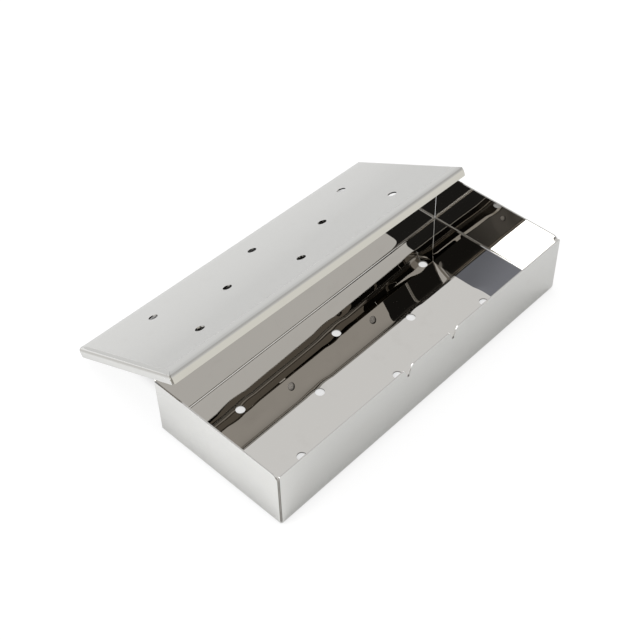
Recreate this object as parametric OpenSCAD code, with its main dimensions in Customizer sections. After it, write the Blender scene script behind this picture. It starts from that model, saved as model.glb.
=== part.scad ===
// A smoker box for a grill: a shallow tray and a loose lid, each folded from
// one sheet of stainless steel. The lid is off and leans on the tray's back wall.
// The origin is the centre of the tray's underside, X runs along the long side,
// Y points to the back wall and Z points up.

/* [Sheet] */
// Thickness of the sheet that both pieces are folded from
sheet_t = 0.8; // [0.5:0.1:1.2]
// Open seam between two folded walls at a corner
seam_gap = 0.1; // [0.1:0.1:0.6]

/* [Tray] */
// Outside length of the tray
tray_l = 225; // [190:1:320]
// Outside width of the tray
tray_w = 90; // [75:1:125]
// Outside height of the tray
tray_h = 39; // [28:0.5:55]
// Inside radius of the tray's bends
tray_bend_r = 1.1; // [0.4:0.1:2]
// Radius of the end walls' top corners at the front
end_front_r = 4.5; // [1:0.5:8]
// Radius of the end walls' top corners at the back
end_back_r = 0.8; // [0.3:0.1:3]
// Radius of the long walls' top corners
side_corner_r = 0.5; // [0.3:0.1:3]

/* [Notches] */
// Width of each V-shaped notch at the front wall's top edge
notch_w = 8.2; // [7:0.1:12]
// Depth of each notch from the wall's top edge
notch_depth = 7; // [6:0.5:12]
// Radius of the two corners where a notch opens
notch_mouth_r = 1.5; // [0.5:0.1:2]
// Radius of a notch's tip
notch_tip_r = 0.8; // [0.5:0.1:1]
// Distance between the two notches
notch_pitch = 36; // [20:1:80]

/* [Lid] */
// Outside height of the lid's rim
rim_h = 6.2; // [4:0.1:7.5]
// Inside radius of the lid's bends
lid_bend_r = 2; // [0.2:0.1:2.4]
// Radius of the rim's free corners
rim_corner_r = 0.5; // [0.3:0.1:2]
// Clearance on each side between the closed lid's rim and the tray
lid_clearance = 0.7; // [0.3:0.1:1.5]

/* [Vents] */
// Diameter of each vent hole, in the floor and in the lid
vent_d = 5.5; // [3:0.5:10]
// Distance between neighbouring vents of one row
vent_pitch_x = 75.5; // [30:0.5:88]
// Distance between neighbouring rows of vents
vent_pitch_y = 23; // [12:0.5:30]
// Number of vents in each row, from the front row to the back row
vents_per_row = [3, 2, 3]; // [1:1:4]

/* [Leaning lid] */
// Length of lid that reaches over the tray, from the line where it rests
lid_overhang = 17.7; // [13:0.1:35]
// Distance from the tray's left end to the lid's left rim, on the back wall
lid_shift = 1; // [0.7:0.1:2]
// Turn of the lid in its own plane, in degrees
lid_skew = 0; // [-0.5:0.1:0.5]
// Clearance that is left where the lid rests on the back wall
rest_gap = 0.1; // [0.05:0.05:0.5]

/* [Hidden] */
$fn = 64;
tray_colour = [0.76, 0.76, 0.75];
lid_colour = [0.82, 0.82, 0.81];
// Overrun of every cut past the faces it goes through
cut = 1;
// Outside radius of the tray's and the lid's bends
tray_bend_outer_r = tray_bend_r + sheet_t;
lid_bend_outer_r = lid_bend_r + sheet_t;
// Where a wall ends, from the pan's outside corner: the two walls of a corner
// leave the sheet's own thickness free, and their inner edges meet at the seam
wall_end = sheet_t + seam_gap;
// Number of steps in each rounding of a notch
arc_steps = 8;
// The height between the centres of a notch's tip and of its mouth's corners
notch_rise = notch_depth - notch_tip_r - notch_mouth_r;
// The slope of a notch's sides, which touch the round tip and the round corners
notch_slope = atan2(notch_rise, notch_w / 2)
    + asin((notch_mouth_r + notch_tip_r) / norm([notch_w / 2, notch_rise]));
// Outside size of the lid, which closes over the outside of the tray
lid_l = tray_l + 2 * (lid_clearance + sheet_t);
lid_w = tray_w + 2 * (lid_clearance + sheet_t);

// The lid leans on three points: its left rim and its plate rest on the back
// wall's top edge, and its far right corner stands on the ground.
// The roll along the wall comes from the two heights that rest on its edge.
lid_roll = asin((rim_h - sheet_t) / (tray_l - lid_shift));
// The far right corner of the rim, seen from the left rim's resting point
foot = turn_y(turn_z([lid_l, lid_w - lid_overhang, 0], lid_skew), lid_roll);
// The tilt that brings this corner down to the ground
lid_tilt = atan2(foot.z, foot.y) + asin((tray_h + rest_gap) / norm([foot.y, foot.z]));

function turn_z(p, angle) = [
    p.x * cos(angle) - p.y * sin(angle),
    p.x * sin(angle) + p.y * cos(angle),
    p.z
];

function turn_y(p, angle) = [
    p.x * cos(angle) + p.z * sin(angle),
    p.y,
    p.z * cos(angle) - p.x * sin(angle)
];

// Points along an arc of radius r, from one angle to another
function arc(centre, r, start, end) = [
    for (i = [0:arc_steps])
        let (angle = start + (end - start) * i / arc_steps)
        centre + r * [cos(angle), sin(angle)]
];

// Places of one row's vents along the box, about its middle
function row_places(count) = [for (i = [0:count - 1]) (i - (count - 1) / 2) * vent_pitch_x];

// What is cut off a sheet's corner to round it: the corner is at the origin,
// and the sheet lies on the plane y = 0, towards positive x and z
module corner_cut(r) {
    difference() {
        translate([-cut, -cut, -cut]) cube([r + cut, sheet_t + 2 * cut, r + cut]);
        translate([r, -2 * cut, r]) rotate([-90, 0, 0])
            cylinder(r = r, h = sheet_t + 4 * cut);
    }
}

// A quarter-round bend along X of outside radius r, from the plate at z = 0 up
// into a wall at y = 0. It is as long as its wall, and its ends are mitred, so
// that it meets the next wall's bend at a seam.
module bend(length, r) {
    mitre = seam_gap / sqrt(2);
    intersection() {
        linear_extrude(r)
            polygon([[mitre, 0], [length - mitre, 0], [length - mitre - r, r], [mitre + r, r]]);
        translate([wall_end, r, r]) rotate([0, 90, 0])
            difference() {
                cylinder(r = r, h = length - 2 * wall_end);
                translate([0, 0, -cut]) cylinder(r = r - sheet_t, h = length + 2 * cut);
            }
    }
}

// A flat wall along X above its bend, with its two top corners rounded
module wall(length, height, r, corner_rs) {
    wall_l = length - 2 * wall_end;
    translate([wall_end, 0, r])
        difference() {
            cube([wall_l, sheet_t, height - r]);
            for (side = [0, 1])
                translate([side * wall_l, 0, height - r]) mirror([side, 0, 0]) mirror([0, 0, 1])
                    corner_cut(corner_rs[side]);
        }
}

// A pan folded from one sheet, on its plate, with its front left corner at the
// origin. All four walls end short of the corners, so each corner is an open
// notch as deep as the sheet is thick. The end walls' corner radii are given
// from the front to the back.
module folded_pan(length, width, height, r, end_rs, side_r) {
    translate([r, r, 0]) cube([length - 2 * r, width - 2 * r, sheet_t]);
    for (side = [0, 1])
        translate([0, side * width, 0]) mirror([0, side, 0]) {
            bend(length, r);
            wall(length, height, r, [side_r, side_r]);
        }
    for (end = [0, 1])
        translate([end * length, 0, 0]) mirror([end, 0, 0]) mirror([1, -1, 0]) {
            bend(width, r);
            wall(width, height, r, end_rs);
        }
}

// All vents of one piece, through a plate whose underside is at z = 0
module vents() {
    rows = len(vents_per_row);
    for (row = [0:rows - 1])
        for (x = row_places(vents_per_row[row]))
            translate([x, (row - (rows - 1) / 2) * vent_pitch_y, -cut])
                cylinder(d = vent_d, h = sheet_t + 2 * cut);
}

// A V-shaped notch through the front wall, from its top edge at z = 0, with a
// round tip and with both corners of its mouth rounded
module notch() {
    mouth = [notch_w / 2, -notch_mouth_r];
    tip = [0, notch_tip_r - notch_depth];
    right_side = concat(
        arc(mouth, notch_mouth_r, 90, 90 + notch_slope),
        arc(tip, notch_tip_r, notch_slope - 90, -90)
    );
    left_side = [for (i = [len(right_side) - 2:-1:0]) [-right_side[i].x, right_side[i].y]];
    translate([0, sheet_t + cut, 0]) rotate([90, 0, 0])
        linear_extrude(sheet_t + 2 * cut)
            polygon(concat([[mouth.x, cut]], right_side, left_side, [[-mouth.x, cut]]));
}

module tray() {
    end_rs = [end_front_r, end_back_r];
    color(tray_colour)
        difference() {
            translate([-tray_l / 2, -tray_w / 2, 0])
                folded_pan(tray_l, tray_w, tray_h, tray_bend_outer_r, end_rs, side_corner_r);
            vents();
            for (side = [-1, 1])
                translate([side * notch_pitch / 2, -tray_w / 2, tray_h]) notch();
        }
}

// The lid lies with its rim down, its front left corner at the origin and its
// top face at z = 0, before it is turned, rolled and tilted onto its rests
module lid_sheet() {
    rim_rs = [rim_corner_r, rim_corner_r];
    difference() {
        mirror([0, 0, 1]) folded_pan(lid_l, lid_w, rim_h, lid_bend_outer_r, rim_rs, rim_corner_r);
        translate([lid_l / 2, lid_w / 2, -sheet_t]) vents();
    }
}

module lid() {
    color(lid_colour)
        translate([lid_shift - tray_l / 2, tray_w / 2, tray_h + rest_gap])
            rotate([-lid_tilt, 0, 0]) rotate([0, lid_roll, 0]) rotate([0, 0, lid_skew])
                translate([0, -lid_overhang, rim_h]) lid_sheet();
}

tray();
lid();
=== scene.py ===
# %% [markdown]
# A smoker box is two folded sheets of bright stainless steel: a tray for wood
# chips and a loose lid, which leans on the tray's back wall. Bright steel has
# hardly any colour of its own. What a viewer sees on it is the room around it,
# mirrored once, twice or six times, so this lesson is about the studio and
# about the finish of the sheet.

# %% Load the frame
import math

import bpy
import numpy as np
from mathutils import Matrix, Vector

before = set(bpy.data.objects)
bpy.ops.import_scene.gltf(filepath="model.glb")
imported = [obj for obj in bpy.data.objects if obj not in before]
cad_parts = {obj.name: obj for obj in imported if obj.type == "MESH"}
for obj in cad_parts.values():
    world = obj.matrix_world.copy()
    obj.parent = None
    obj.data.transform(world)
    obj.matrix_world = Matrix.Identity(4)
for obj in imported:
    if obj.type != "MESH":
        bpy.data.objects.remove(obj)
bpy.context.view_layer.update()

# %% [markdown]
# The camera looks down at the near left corner. Its place, its lens and the
# slight turn about its own axis were fitted to the corners of the box in the
# photograph, so the picture's perspective is the photograph's.

# %% Camera
camera_azimuth = math.radians(-45.15)
camera_elevation = math.radians(46.9205)
camera_roll = math.radians(-1.7043)
camera_distance = 0.71189
camera_target = Vector((0.001506, 0.037296, 0))
sensor_width = 36
lens = 69.888
nearest_seen, farthest_seen = 0.01, 50


def camera_matrix():
    """A camera's axes: it looks along -Z, so Z points back to where it stands,
    X is to the right and Y is up, and X and Y are turned by the roll."""
    back = Vector((
        math.sin(camera_azimuth) * math.cos(camera_elevation),
        -math.cos(camera_azimuth) * math.cos(camera_elevation),
        math.sin(camera_elevation),
    ))
    level_right = (-back).cross(Vector((0, 0, 1))).normalized()
    level_up = level_right.cross(-back)
    right = math.cos(camera_roll) * level_right + math.sin(camera_roll) * level_up
    up = math.cos(camera_roll) * level_up - math.sin(camera_roll) * level_right
    turn = Matrix((right, up, back)).transposed().to_4x4()
    return Matrix.Translation(camera_target + camera_distance * back) @ turn


camera = bpy.data.objects.new("camera", bpy.data.cameras.new("camera"))
camera.data.sensor_width = sensor_width
camera.data.lens = lens
camera.data.clip_start = nearest_seen
camera.data.clip_end = farthest_seen
camera.matrix_world = camera_matrix()
bpy.context.scene.collection.objects.link(camera)
bpy.context.scene.camera = camera
print("camera at", [round(x, 4) for x in camera.location])

# %% [markdown]
# Every finish below is a formula over nodes. Written node by node it would be
# hard to read, so one small class wraps a socket: adding or multiplying two of
# them adds the Math node that does it.

# %% A socket that Python can calculate with


class Value:
    """A number, vector or colour that a node puts out."""

    def __init__(self, graph, socket):
        self.graph = graph
        self.socket = socket

    def math(self, operation, *others):
        return self.graph.node("ShaderNodeMath", {"operation": operation}, [self, *others])

    def __add__(self, other):
        return self.math("ADD", other)

    __radd__ = __add__

    def __mul__(self, other):
        return self.math("MULTIPLY", other)

    __rmul__ = __mul__

    def __truediv__(self, other):
        return self.math("DIVIDE", other)

    def __sub__(self, other):
        return self.math("SUBTRACT", other)

    def __rsub__(self, other):
        return self.graph.node("ShaderNodeMath", {"operation": "SUBTRACT"}, [other, self])

    def __abs__(self):
        return self.math("ABSOLUTE")


# %% The nodes of one material or of the world


class Graph:
    """A tree of nodes, and short ways to add to it."""

    def __init__(self, tree):
        self.tree = tree
        tree.nodes.clear()

    def node(self, kind, settings=None, inputs=(), out=0):
        """Adds a node: its settings first, then a value or a link for each input,
        by place or by name. The result is its output by place or name, or the
        node itself where out is None."""
        made = self.tree.nodes.new(kind)
        for name, value in (settings or {}).items():
            setattr(made, name, value)
        pairs = inputs.items() if isinstance(inputs, dict) else enumerate(inputs)
        for key, value in pairs:
            if isinstance(value, Value):
                self.tree.links.new(value.socket, made.inputs[key])
            elif value is not None:
                made.inputs[key].default_value = value
        return made if out is None else Value(self, made.outputs[out])

    def over(self, value, limit):
        """1 where value is over the limit, 0 elsewhere."""
        return value.math("GREATER_THAN", limit)

    def smooth(self, value, start, end):
        """0 where value is at start, 1 where it is at end, and smooth between."""
        return self.node(
            "ShaderNodeMapRange",
            {"interpolation_type": "SMOOTHSTEP"},
            {"Value": value, "From Min": start, "From Max": end},
        )

    def split(self, vector):
        """The x, y and z of a vector."""
        parts = self.node("ShaderNodeSeparateXYZ", None, [vector], out=None)
        return [Value(self, parts.outputs[axis]) for axis in "XYZ"]

    def mix_colour(self, factor, first, second):
        return self.node(
            "ShaderNodeMix",
            {"data_type": "RGBA"},
            {"Factor": factor, "A": first, "B": second},
            out="Result",
        )


print("shader helpers are ready")

# %% [markdown]
# The studio is a tent of white cloth, open towards the camera's side, where it
# is dark. A bright window of light stands back on the left, and a slot in the
# roof is a little dimmer. Lamps and cards could do it, but another view would
# bump into them. So the world shader gives each direction its brightness, in
# one formula. Every border in it is soft, and is written as two numbers: where
# the part hasn't begun yet, and where it is whole.

# %% How bright each part of the studio is
tent_brightness = 1.0
background_brightness = 1.0
window_brightness = 6.0
gap_brightness = 0.8
dark_level = 0.04
dark_edge_level = 0.34
dark_back_level = 0.30
dark_far_gain = 0.14
roof_loss = 0.1
front_gain = 0.08
white = (1, 1, 1, 1)
cream_white = (1, 0.975, 0.90, 1)
dark_blue = (0.91, 0.97, 1.15, 1)

# %% Where each part of the studio is, in a direction's x, y and z
dark_x, dark_z = (-0.12, -0.42), (0.30, 0.52)
dark_edge_x = (-0.625, -0.675)
dark_back_y, dark_far_y = (-0.30, 0.20), (0.41, 0.385)
dim_roof_z, dim_roof_y = (0.55, 0.70), (0.20, 0.38)
front_y = (-0.60, -0.85)
window_slope = 1.1403
window_border = (0.001, -0.001)
window_right_x, window_left_x = (-0.590, -0.600), (-0.93, -0.89)
window_y, window_z = (0.05, 0.10), (0.18, 0.24)
gap_z, gap_x = (0.55, 0.65), (0.05, 0.15)
gap_front_y, gap_back_y = (-0.45, -0.25), (0.35, 0.05)
cream_y, cream_z = (-0.45, -0.85), (0.5, 0.2)
blue_y = (0.10, 0.30)

# %% Studio


def studio_world():
    world = bpy.data.worlds.new("studio")
    world.use_nodes = True
    g = Graph(world.node_tree)
    direction = g.node("ShaderNodeTexCoord", out="Generated")
    x, y, z = g.split(direction)
    # The open side: up there, on the left. It is darkest towards the camera
    dark = g.smooth(x, *dark_x) * g.smooth(z, *dark_z)
    front = dark_level + (dark_edge_level - dark_level) * g.smooth(x, *dark_edge_x)
    back = dark_back_level + dark_far_gain * g.smooth(y, *dark_far_y)
    level = front + g.smooth(y, *dark_back_y) * (back - front)
    roof = tent_brightness - roof_loss * g.smooth(z, *dim_roof_z) * g.smooth(y, *dim_roof_y)
    tent = roof + front_gain * g.smooth(y, *front_y) + dark * (level - roof)
    # The window of light, back on the left
    window = (
        g.smooth(z + window_slope * x, *window_border)
        * g.smooth(x, *window_right_x)
        * g.smooth(x, *window_left_x)
        * g.smooth(y, *window_y)
        * g.smooth(z, *window_z)
    )
    lit = tent + window * (window_brightness - tent)
    # The slot in the roof runs along X: its shape is drawn on a level ceiling
    roof_y = y / z
    gap = g.smooth(z, *gap_z) * g.smooth(roof_y, *gap_front_y) * g.smooth(roof_y, *gap_back_y)
    gap = gap * g.smooth(x, *gap_x)
    lit = lit + gap * (gap_brightness - lit)
    seen = g.node("ShaderNodeLightPath", out="Is Camera Ray")
    strength = lit + seen * (background_brightness - lit)
    # The cloth in front is a little cream, and the dark side is blue at the back
    cream = g.smooth(y, *cream_y) * g.smooth(z, *cream_z) * (1.0 - seen)
    blue = dark * (1.0 - window) * g.smooth(y, *blue_y) * (1.0 - seen)
    tint = g.mix_colour(cream, white, cream_white)
    tint = g.mix_colour(blue, tint, dark_blue)
    light = g.node("ShaderNodeBackground", None, {"Color": tint, "Strength": strength})
    g.node("ShaderNodeOutputWorld", None, [light], out=None)
    bpy.context.scene.world = world


studio_world()
print("world:", bpy.context.scene.world.name)

# %% [markdown]
# The floor is pale, and in the photograph it is burnt out to white. More light
# would burn out the steel too, so the floor shines a little by itself. It does
# so less right next to the box, under the lid and under the vents, where the
# object keeps light away: an Ambient Occlusion node tells how open each place
# is. What the camera sees and what the steel mirrors have their own strengths.

# %% The floor's form
floor_size = 8
floor_drop = 0.0001


def floor_sheet():
    """A level square: x and y run over its size, and z is just below zero, so
    that it doesn't touch the underside of the box."""
    side = np.array([-0.5, 0.5]) * floor_size
    x, y = np.meshgrid(side, side)
    corners = np.stack([x, y, np.full_like(x, -floor_drop)], axis=-1).reshape(-1, 3)
    mesh = bpy.data.meshes.new("floor")
    mesh.from_pydata(corners.tolist(), [], [(0, 1, 3, 2)])
    sheet = bpy.data.objects.new("floor", mesh)
    bpy.context.scene.collection.objects.link(sheet)
    return sheet


# %% How bright the floor is. Each gain is given with its place along X
floor_albedo = (0.75, 0.75, 0.75, 1)
seen_albedo = (0.20, 0.20, 0.20, 1)
shadow_albedo = (0.12, 0.115, 0.11, 1)
floor_lift = 0.86
mirror_lift = 0.30
gain_start, gain_end = (-0.12, 1.20), (0.5, 0.65)
left_x, left_gain = (-0.108, -0.125), 0.18
contact_loss, seen_contact_loss = 0.30, 0.12
vent_loss = 0.22

# %% Where the floor is covered, in metres and as a share of the open sky
contact_reach, cover_reach = 0.008, 0.06
contact_sky = (0.2, 1.0)
covered_sky, seen_covered_sky = (0.48, 0.25), (0.62, 0.40)
behind_x, behind_y = (0.100, 0.078), (0.05, 0.07)
under_x, under_y = (0.1125, 0.1110), (0.0450, 0.0435)
sky_samples = 6

# %% Floor


def pale_floor():
    material = bpy.data.materials.new("pale_floor")
    material.use_nodes = True
    g = Graph(material.node_tree)
    rays = g.node("ShaderNodeLightPath", out=None)
    camera_ray, glossy_ray, transmission_ray = (
        Value(g, rays.outputs[f"Is {kind} Ray"]) for kind in ("Camera", "Glossy", "Transmission")
    )
    contact, cover = (
        g.node("ShaderNodeAmbientOcclusion", {"samples": sky_samples}, {"Distance": reach}, "AO")
        for reach in (contact_reach, cover_reach)
    )
    # Light gets in under the lid's two ends, so the dark that shows starts inside
    x, y, _ = g.split(g.node("ShaderNodeTexCoord", out="Object"))
    off_middle = abs(x)
    covered = g.smooth(cover, *covered_sky)
    behind = g.smooth(off_middle, *behind_x) * g.smooth(y, *behind_y)
    seen_covered = g.smooth(cover, *seen_covered_sky) * behind
    covered = covered + camera_ray * (seen_covered - covered)
    loss = contact_loss - (contact_loss - seen_contact_loss) * camera_ray
    near = 1.0 - loss * (1.0 - g.smooth(contact, *contact_sky))
    # Less light comes down through the vents to the floor under the box
    under_box = g.smooth(off_middle, *under_x) * g.smooth(abs(y), *under_y)
    near = near * (1.0 - vent_loss * under_box * camera_ray)
    open_air = near * (1.0 - covered)
    # The floor is a little brighter towards the window, which the steel mirrors
    ends = {
        "From Min": gain_start[0], "From Max": gain_end[0],
        "To Min": gain_start[1], "To Max": gain_end[1],
    }
    glow = mirror_lift * g.node("ShaderNodeMapRange", None, {"Value": x, **ends})
    glow = glow + left_gain * g.smooth(x, *left_x)
    lift = open_air * (floor_lift * (camera_ray + transmission_ray) + glow * glossy_ray)
    own = g.node("ShaderNodeEmission", None, {"Color": white, "Strength": lift})
    pale = g.mix_colour(camera_ray, floor_albedo, seen_albedo)
    # Painted shadow: where the lid covers the floor, its colour is darkened too
    shade = g.mix_colour(covered, pale, shadow_albedo)
    matt = g.node("ShaderNodeBsdfDiffuse", None, {"Color": shade})
    both = g.node("ShaderNodeAddShader", None, [matt, own])
    g.node("ShaderNodeOutputMaterial", None, [both], out=None)
    return material


floor = floor_sheet()
floor.data.materials.append(pale_floor())
print("floor:", floor_size, "m wide, of", floor.data.materials[0].name)

# %% [markdown]
# Light goes round between the lid, the walls and the floor of the tray many
# times, and each time it is mirrored. The bounces are as many as can be seen,
# and light is followed to its end instead of being dropped by chance, because
# that chance shows as dots in the dark parts.

# %% View and bounces
bounces, mirrored_bounces = 14, 12
scene = bpy.context.scene
scene.view_settings.view_transform = "Standard"
scene.cycles.max_bounces = bounces
scene.cycles.glossy_bounces = mirrored_bounces
scene.cycles.min_light_bounces = mirrored_bounces
print("bounces:", bounces, "and of mirrored light:", mirrored_bounces)

# %% [markdown]
# Both pieces are folded pans. A finish that knows where it is on the sheet needs
# coordinates of the pan: X along it, Y across it, and the depth that grows from
# the plate's outer face up the walls. The tray stands straight in the frame. The
# lid is upside down and leans, so its coordinates are turned back first.

# %% The lid's place in metres, and the two pans' sizes in millimetres
lid_rest = Vector((-0.1115, 0.045, 0.0391))
lid_tilt = math.radians(27.0152)
lid_roll = math.radians(1.3814)
lid_overhang = 0.0177
lid_middle = Vector((0.114, 0.0465 - lid_overhang, 0.0062))
lean = Matrix.Rotation(-lid_tilt, 4, "X") @ Matrix.Rotation(lid_roll, 4, "Y")
pans = {
    "tray": {
        "place": Matrix.Identity(4), "up": 1.0, "half": (112.5, 45.0), "bend": 1.9,
    },
    "lid": {
        "place": Matrix.Translation(lid_rest) @ lean @ Matrix.Translation(lid_middle),
        "up": -1.0, "half": (114.0, 46.5), "bend": 2.8,
    },
}
print("pans:", ", ".join(pans))

# %% [markdown]
# From a point's place and from the way that it faces, the shader works out
# whether it is on the plate, a bend, a wall, a cut edge or a notch. Such masks
# could be painted by hand, but then they would be one picture for each piece.
# As formulas they are sharp from near, and the same ones serve both pieces.

# %% What the masks go by, in millimetres or as shares
metres_per_mm = 0.001
sheet_mm = 0.8
wall_end_mm = 0.9
past_bend_mm = 0.02
least_mm = 0.001
half_faced, mitre_faced = 0.5, 0.3
bend_start, bend_end = (0.28, 0.45), (1.0, 0.50)
notch_low, notch_reach, notch_level = 20.0, 60.0, 0.98
tip_depth, mouth_depth = (33.1, 32.7), (36.6, 37.3)
spring_reach = 1.6
vent_pitch, vent_row, vents_end = 75.5, 23.0, 90.0
dimple_radius = (13.0, 3.0)

# %% Where a point is on a pan


class Pan:
    """Where a point is on a folded pan, in millimetres, as values of a shader."""

    def __init__(self, g, place, up, half, bend):
        self.spot, facing = self.turned_back(g, place)
        x, y, z = g.split(self.spot)
        nx, ny, nz = (abs(part) for part in g.split(facing))
        far_x, far_y = abs(x), abs(y)
        depth = z * up
        wall = g.over(depth, bend + past_bend_mm)
        end = g.over(far_x, half[0] - wall_end_mm)
        # A cut face is one that doesn't face the way of the sheet's thickness
        border = g.over(far_x, half[0] - bend).math("MAXIMUM", g.over(far_y, half[1] - bend))
        low_face = nz.math("MAXIMUM", border)
        wall_face = ny + end * (nx - ny)
        face = low_face + wall * (wall_face - low_face)
        mitre = g.over(nx * ny, mitre_faced)
        self.cut = (1.0 - g.over(face, half_faced)).math("MAXIMUM", mitre)
        # How far out a point is from the middle of a bend, or of what the bend
        # runs on into: the sheet's outer face is at the bend's radius everywhere
        out_x = (far_x - (half[0] - bend)).math("MAXIMUM", 0.0)
        out_y = (far_y - (half[1] - bend)).math("MAXIMUM", 0.0)
        out_z = (bend - depth).math("MAXIMUM", 0.0)
        out = (out_x * out_x + out_y * out_y + out_z * out_z).math("SQRT")
        self.inside = 1.0 - g.over(out, bend - 0.5 * sheet_mm)
        # How far a bend has turned from the plate's way, 0, to the wall's, 1. The bend's
        # mask begins sharply and fades towards the wall: there the fold is duller, and darkened
        # by painted shade
        turned = 1.0 - out_z / out.math("MAXIMUM", least_mm)
        self.bend = g.smooth(turned, *bend_start) * g.smooth(turned, *bend_end)
        self.level = nz
        # The cut sides of the notches, their round tips low in the wall and their
        # mouths at its top. The tips get a painted shadow and the mouths a painted highlight
        in_wall = g.over(depth, notch_low) * g.over(notch_reach - far_x, 0.0)
        self.notch = in_wall * g.over(notch_level - nz, 0.0)
        self.tip = g.smooth(depth, *tip_depth)
        self.mouth = g.smooth(depth, *mouth_depth)
        self.end_wall = wall * end
        # Next to a long bend the sheet is already a little curved: 1 at the bend,
        # and fading over the reach of the bend's spring
        on_wall = (1.0 - end) * self.fade(depth - bend)
        on_plate = self.fade(half[1] - bend - far_y)
        self.spring = on_plate + wall * (on_wall - on_plate)
        self.depth = depth
        # How far the nearest vent is: two rows have one over the middle, the
        # third is half a pitch off
        row_x = x.math("WRAP", vent_pitch / 2, -vent_pitch / 2)
        next_x = (x + vent_pitch / 2).math("WRAP", vent_pitch / 2, -vent_pitch / 2)
        row_y = far_y - vent_row
        nearest = (row_x * row_x + row_y * row_y).math("MINIMUM", next_x * next_x + y * y)
        has_vents = (1.0 - wall) * (1.0 - g.over(far_x, vents_end))
        self.vent = has_vents * g.smooth(nearest.math("SQRT"), *dimple_radius)
        # The sheet's grain runs along X, and with the end walls it turns up
        self.along = x + self.end_wall * depth
        self.across = y + wall * (1.0 - end) * depth

    @staticmethod
    def turned_back(g, place):
        """A point and its normal in the pan's own axes, the point in millimetres."""
        turn = place.to_euler("XYZ")
        lengths = {"Location": place.translation, "Scale": [metres_per_mm] * 3}
        return [
            g.node(
                "ShaderNodeMapping",
                {"vector_type": "TEXTURE"},
                {"Vector": g.node("ShaderNodeTexCoord", out=kind), "Rotation": turn, **more},
            )
            for kind, more in (("Object", lengths), ("Normal", {}))
        ]

    @staticmethod
    def fade(distance):
        """1 at a bend's edge and in the bend, and 0 far from it."""
        return (distance.math("MAXIMUM", 0.0) * (-1.0 / spring_reach)).math("EXPONENT")


# %% [markdown]
# The finish: rolled stainless sheet, nearly a mirror. Its roughness carries the
# grain of the rolling and a few dull smudges. A very slight waviness bends the
# reflections, as on every thin sheet. Where the sheet was cut or folded it is
# duller. Waves in the mesh could do it too, but they are so low that only the
# mirror images show them, so a bump does it.

# %% The sheet's texture
grain_along, grain_across, grain_detail = 0.03, 1.6, 2.0
wave_size, wave_detail = 40.0, 1.0
cloud_scale, cloud_detail = 0.07, 3.0
smudge_edge, smudge_strength = (0.56, 0.72), 0.10
edge_level = (0.1, 0.5)

# %% How rough each part is, and how dark the painted shade in the bends is inside
polish, grain_rough, smudge_rough = 0.6, 0.8, 0.6
inside_polish = 0.4
bend_roughness = 0.15
cut_roughness = 0.12
notch_roughness = 0.6
inner_bend_shade = 0.8

# %% How high each form of the sheet is, in metres
wave_height = 0.00005
grain_height = 0.0000003
spring_height = 0.00012
dimple_depth = 0.00006
wall_lean = 0.007

# %% Colours
tray_outer = (0.588, 0.587, 0.570, 1)
tray_inner = (0.615, 0.600, 0.575, 1)
lid_outer = (0.555, 0.553, 0.538, 1)
lid_inner = (0.63, 0.60, 0.565, 1)
smudge_grey = (0.48, 0.46, 0.43, 1)
cut_bright = (0.56, 0.55, 0.53, 1)
notch_grey = (0.58, 0.57, 0.55, 1)
mouth_highlight = (0.97, 0.96, 0.94, 1)
tip_shadow = (0.15, 0.14, 0.13, 1)
seam_shade_grey = (0.36, 0.35, 0.33, 1)
bend_shade_grey = (0.36, 0.35, 0.33, 1)

# %% Steel


def noise(g, where, scale, detail, dimensions="3D"):
    return g.node(
        "ShaderNodeTexNoise",
        {"noise_dimensions": dimensions},
        {"Vector": where, "Scale": scale, "Detail": detail},
    )


def form_of_sheet(g, on, wave, grain, dimple):
    """The sheet's form: long waves, a dimple round each punched vent, a curve
    next to the long bends, and end walls that lean out a little, as sheet that
    springs back after its fold."""
    lean_out = on.end_wall * on.depth * (metres_per_mm * wall_lean) * (1.0 - 2.0 * on.inside)
    spring = on.spring * spring_height * (2.0 * on.inside - 1.0)
    brushed = grain * (1.0 - on.inside) * grain_height
    height = wave * wave_height + brushed + lean_out + spring - on.vent * dimple
    return g.node("ShaderNodeBump", None, {"Strength": 1.0, "Distance": 1.0, "Height": height})


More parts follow.
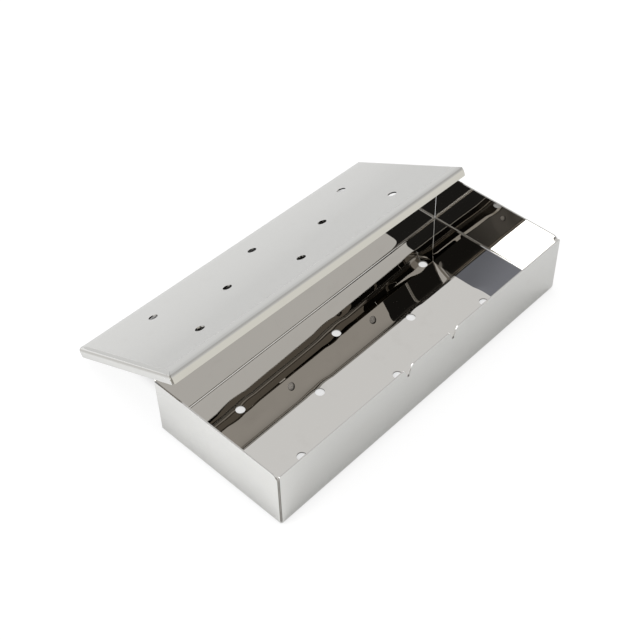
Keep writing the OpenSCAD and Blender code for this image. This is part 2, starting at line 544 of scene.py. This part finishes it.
def steel(name, pan, outer, inner, roughness, dimple, bend_shade):
    material = bpy.data.materials.new(name)
    material.use_nodes = True
    g = Graph(material.node_tree)
    on = Pan(g, **pan)
    brushing = [on.along * grain_along, on.across * grain_across]
    grain = noise(g, g.node("ShaderNodeCombineXYZ", None, brushing), 1.0, grain_detail, "2D")
    wave = noise(g, on.spot, 1 / wave_size, wave_detail)
    smudge = g.smooth(noise(g, on.spot, cloud_scale, cloud_detail), *smudge_edge)
    rough = roughness * (polish + grain_rough * grain + smudge_rough * smudge)
    rough = rough * (1.0 - inside_polish * on.inside)
    rough = rough + on.bend * (bend_roughness - rough)
    rough = rough + on.cut * (cut_roughness - rough)
    rough = rough + on.cut * on.notch * (notch_roughness - rough)
    colour = g.mix_colour(on.inside, outer, inner)
    colour = g.mix_colour(smudge_strength * smudge, colour, smudge_grey)
    # Painted shade: the bends are darkened towards a grey, most inside the pans
    shaded_bend = on.bend * (bend_shade + (inner_bend_shade - bend_shade) * on.inside)
    colour = g.mix_colour(shaded_bend, colour, bend_shade_grey)
    # Cut edges are sheared and duller. They are bright on top and grey on their sides in the
    # seams, which is painted shade. The notches have their own: a painted shadow at the tip and
    # a painted highlight at the mouth
    edge = g.mix_colour(g.smooth(on.level, *edge_level), seam_shade_grey, cut_bright)
    notch = g.mix_colour(on.tip, notch_grey, tip_shadow)
    notch = g.mix_colour(on.mouth, notch, mouth_highlight)
    edge = g.mix_colour(on.notch, edge, notch)
    colour = g.mix_colour(on.cut, colour, edge)
    bump = form_of_sheet(g, on, wave, grain, dimple)
    surface = g.node(
        "ShaderNodeBsdfPrincipled",
        None,
        {"Base Color": colour, "Metallic": 1.0, "Roughness": rough, "Normal": bump},
    )
    g.node("ShaderNodeOutputMaterial", None, [surface], out=None)
    return material


# %% A finish for each piece
finishes = {
    "tray": steel(
        "tray_steel", pans["tray"], tray_outer, tray_inner,
        roughness=0.015, dimple=dimple_depth, bend_shade=0.2,
    ),
    "lid": steel(
        "lid_steel", pans["lid"], lid_outer, lid_inner,
        roughness=0.02, dimple=0.0, bend_shade=0.85,
    ),
}
for node, material in finishes.items():
    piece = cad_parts[node]
    piece.data.materials.clear()
    piece.data.materials.append(material)
print("finishes:", ", ".join(material.name for material in finishes.values()))

# %% [markdown]
# The looks add no shape, so the box round all that shows is still the box of
# the solids.

# %% The shape is the solids' shape
print("the looks add no shape")
